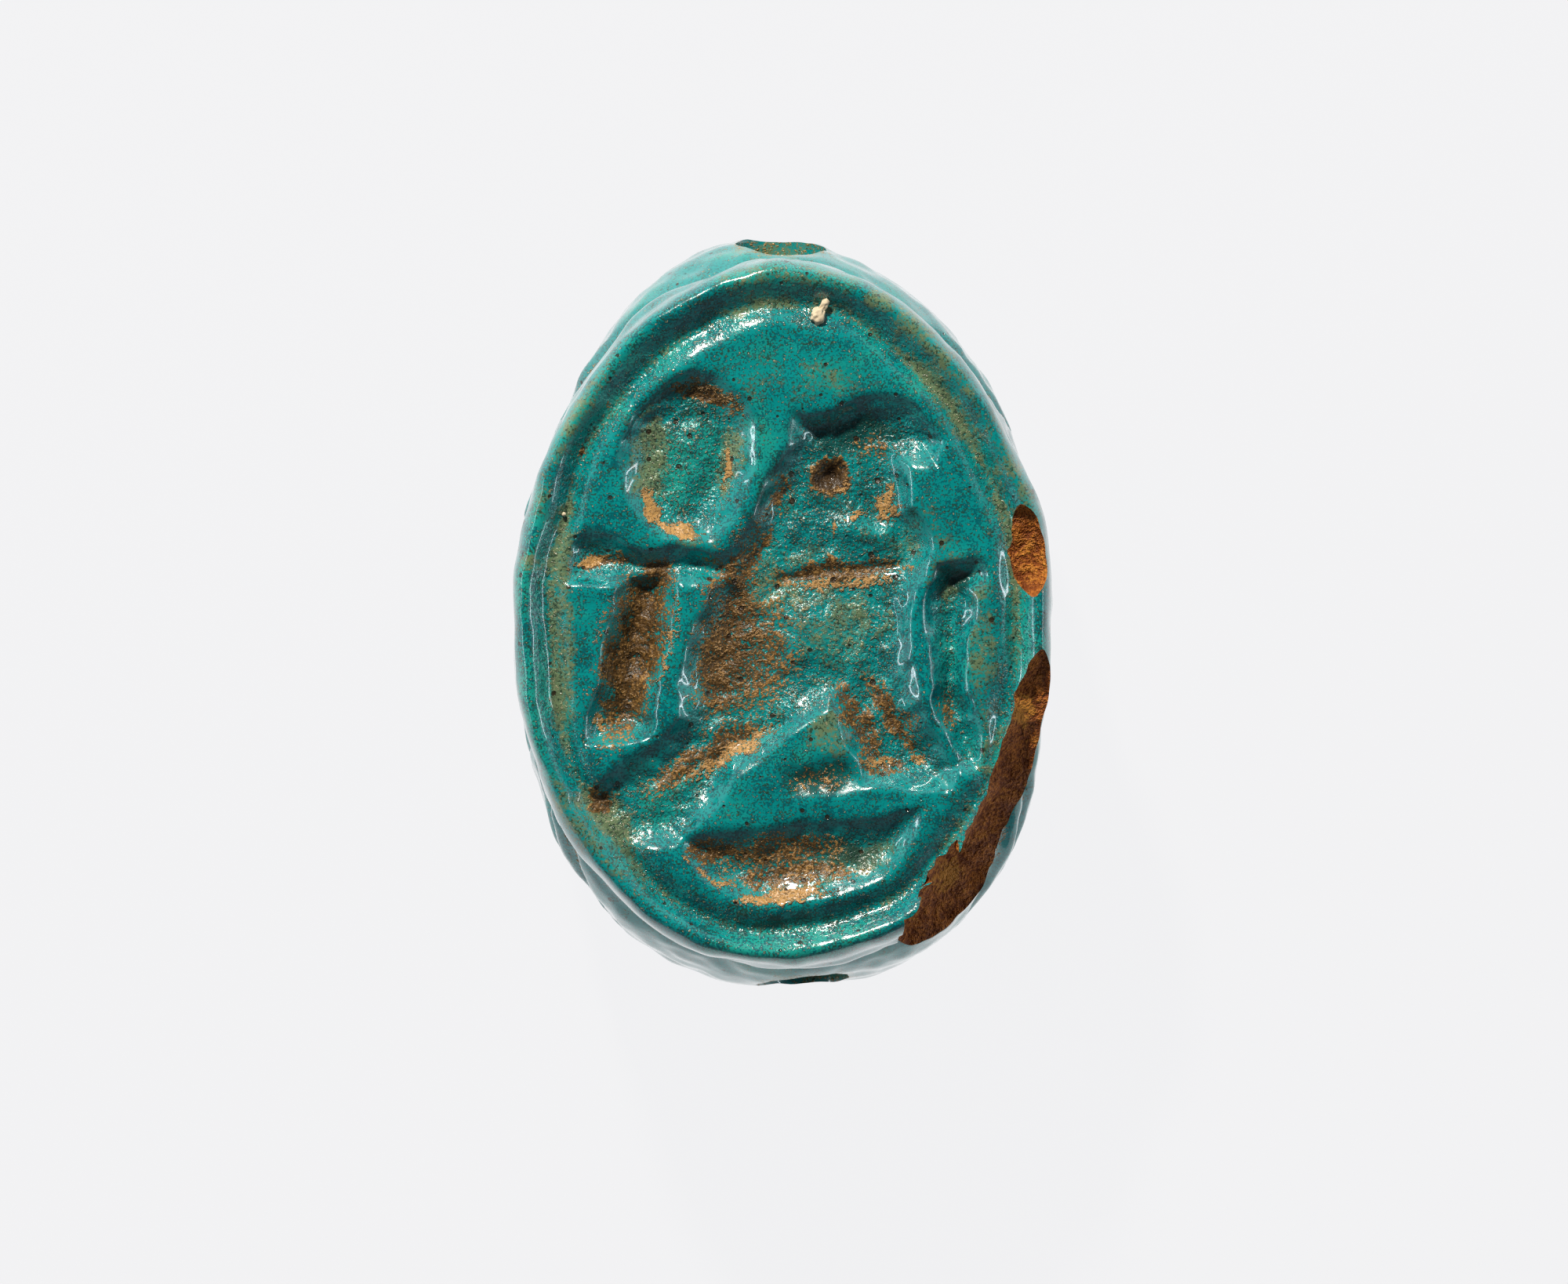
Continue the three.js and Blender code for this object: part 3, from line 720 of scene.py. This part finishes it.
# Pale gold specks: grains of sand in the glaze, and painted glints.
specks_and_glints = (finest * 1.8 + fine * 0.7 + groove * 0.12 + hollow * 0.1 - wall * 0.1).step(0.32, 0.55)
colour = wire.mix(colour, GOLD_GRAIN_AND_GLINT, specks_and_glints * 0.75)
# Painted shade: the shadowed corners of the hollows are darkened to deep green.
painted_shade = (wire.attribute("painted_shade") + middling * 0.7 + speckle * 0.3).step(0.25, 0.95)
colour = wire.mix(colour, PAINTED_SHADE_GREEN, painted_shade * 0.85)
dirty = (earth + middling * 0.6 + speckle * 0.9).step(0.42, 0.82)
soil = wire.mix(DARK_BROWN, BROWN, (middling + speckle).step(-0.4, 0.15))
soil = wire.mix(soil, OCHRE, (speckle + middling * 0.5 + broad * 0.3 - earth * 0.15).step(-0.1, 0.35))
soil = wire.mix(soil, DARK_BROWN, (earth + speckle * 0.3).step(1.1, 1.45) * 0.8)
colour = wire.mix(colour, soil, dirty)
caked = (tan + middling * 0.6 + speckle * 0.9).step(0.48, 0.8)
crust = wire.mix(OCHRE, CREAM, (speckle + middling * 0.4).step(-0.1, 0.45))
crust = wire.mix(crust, BROWN, (fine * 1.4 + finest - middling * 0.4).step(-0.02, 0.35) * 0.8)
colour = wire.mix(colour, crust, caked)
cells = wire.node("TexVoronoi", {}, {"Vector": place, "Scale": 2.2})
pits = (middling * 0.2 + fine * 0.05 + hollow * 0.03 - cells).step(-0.11, -0.07)
colour = wire.mix(colour, DARK_BROWN, pits * 0.9)
feed(tree, colour, shader.inputs["Base Color"])
dry = dirty.highest(caked)
feed(tree, hollow.step(0.2, 0.9) * 0.08 + dry * 0.14 + 0.2, shader.inputs["Roughness"])
feed(tree, (1 - dry * 0.88) * (1 - hollow.step(0.4, 0.95) * 0.45), shader.inputs["Coat Weight"])
shader.inputs["Coat Roughness"].default_value = 0.06
shader.inputs["Specular IOR Level"].default_value = 0.5
grit = (hollow.step(0.3, 0.95) + groove * 0.6).highest(dry)
lumps = middling * 0.08 + fine * 0.035 + finest.step(0.06, 0.26) * 0.014
relief = lumps * (grit * 0.9 + 0.1) + caked * 0.025 - pits * 0.04
bump = wire.node("Bump", {}, {"Height": relief, "Distance": MM, "Strength": 1.0})
feed(tree, bump, shader.inputs["Normal"])

shader, wire = shader_of(core)
tree = core.node_tree
place = wire.place()
broad, middling = wire.grain(place, 0.9, 2, 3), wire.grain(place, 0.22, 3, 17)
fine, finest = wire.grain(place, 0.07, 2, 23), wire.grain(place, 0.035, 1, 41)
colour = wire.mix(CORE_RED, CORE_BROWN, (middling + fine * 1.2).step(-0.25, 0.3))
bright = wire.attribute("tan") * 0.8 + broad * 1.2 + middling + fine
colour = wire.mix(colour, CORE_GOLD, bright.step(0.1, 0.6))
feed(tree, colour, shader.inputs["Base Color"])
shader.inputs["Roughness"].default_value = 0.5
shader.inputs["Specular IOR Level"].default_value = 0.2
relief = middling * 0.14 + fine * 0.1 + finest * 0.05
bump = wire.node("Bump", {}, {"Height": relief, "Distance": MM, "Strength": 1.0})
feed(tree, bump, shader.inputs["Normal"])


# ---- Floor, lights and camera ----
# The amulet lies on a plain pale sheet that glows a little, so that its shadow stays faint. A small
# warm lamp stands beyond its head, to the left, with a narrow strip of light on either side, and
# the camera looks straight down on the carved face.
floor_mesh = bpy.data.meshes.new("floor")
plane = bmesh.new()
bmesh.ops.create_grid(plane, x_segments=1, y_segments=1, size=0.6)
plane.to_mesh(floor_mesh)
plane.free()
floor = bpy.data.objects.new("floor", floor_mesh)
bpy.context.collection.objects.link(floor)
paper = bpy.data.materials.new("pale_paper")
paper.use_nodes = True
paper_shader = paper.node_tree.nodes["Principled BSDF"]
paper_shader.inputs["Base Color"].default_value = (0.02, 0.02, 0.02, 1)
paper_shader.inputs["Roughness"].default_value = 0.9
paper_shader.inputs["Specular IOR Level"].default_value = 0.0
paper_shader.inputs["Emission Color"].default_value = (0.985, 0.985, 1, 1)
paper_shader.inputs["Emission Strength"].default_value = 0.885
floor_mesh.materials.append(paper)


def softbox(name, place, aim, size, power, colour):
    light = bpy.data.lights.new(name, "AREA")
    light.shape = "RECTANGLE"
    light.size, light.size_y = size
    light.energy = power
    light.color = colour
    lamp = bpy.data.objects.new(name, light)
    bpy.context.collection.objects.link(lamp)
    lamp.location = place
    lamp.rotation_euler = (Vector(aim) - Vector(place)).to_track_quat("-Z", "Y").to_euler()
    return lamp


MIDDLE = (0, 0, 0.006)
softbox("key", (-0.05, 0.15, 0.125), MIDDLE, (0.015, 0.015), 0.52, (1, 0.93, 0.82))
softbox("left_strip", (-0.17, 0.0, 0.06), MIDDLE, (0.1, 0.006), 0.03, (0.85, 0.93, 1))
softbox("right_strip", (0.17, 0.0, 0.06), MIDDLE, (0.1, 0.006), 0.03, (0.85, 0.93, 1))

world = bpy.data.worlds.new("studio")
bpy.context.scene.world = world
world.use_nodes = True
sky = Wire(world.node_tree)
way = sky.node("TexCoord", {}, {})
upward = sky.node("SeparateXYZ", {}, {0: way}, 2)
northward = sky.node("SeparateXYZ", {}, {0: way}, 1)
horizon = sky.mix((0.3, 0.33, 0.36, 1), (0.9, 0.95, 1, 1), northward.step(-0.7, 0.1))
tone = sky.mix(horizon, (0.05, 0.06, 0.075, 1), upward.step(0.05, 0.75))
world.node_tree.links.new(tone.socket, world.node_tree.nodes["Background"].inputs["Color"])
world.node_tree.nodes["Background"].inputs["Strength"].default_value = 0.6
bpy.context.scene.view_settings.view_transform = "Standard"

camera_data = bpy.data.cameras.new("camera")
camera_data.lens = 500
camera_data.sensor_width = 36
camera_data.clip_start = 0.01
camera = bpy.data.objects.new("camera", camera_data)
bpy.context.collection.objects.link(camera)
FRAME_WIDTH = 31.61 * MM
camera_rise = FRAME_WIDTH * camera_data.lens / camera_data.sensor_width
camera.location = (0.024 * MM, -0.58 * MM, CREST * MM + camera_rise)
bpy.context.scene.camera = camera
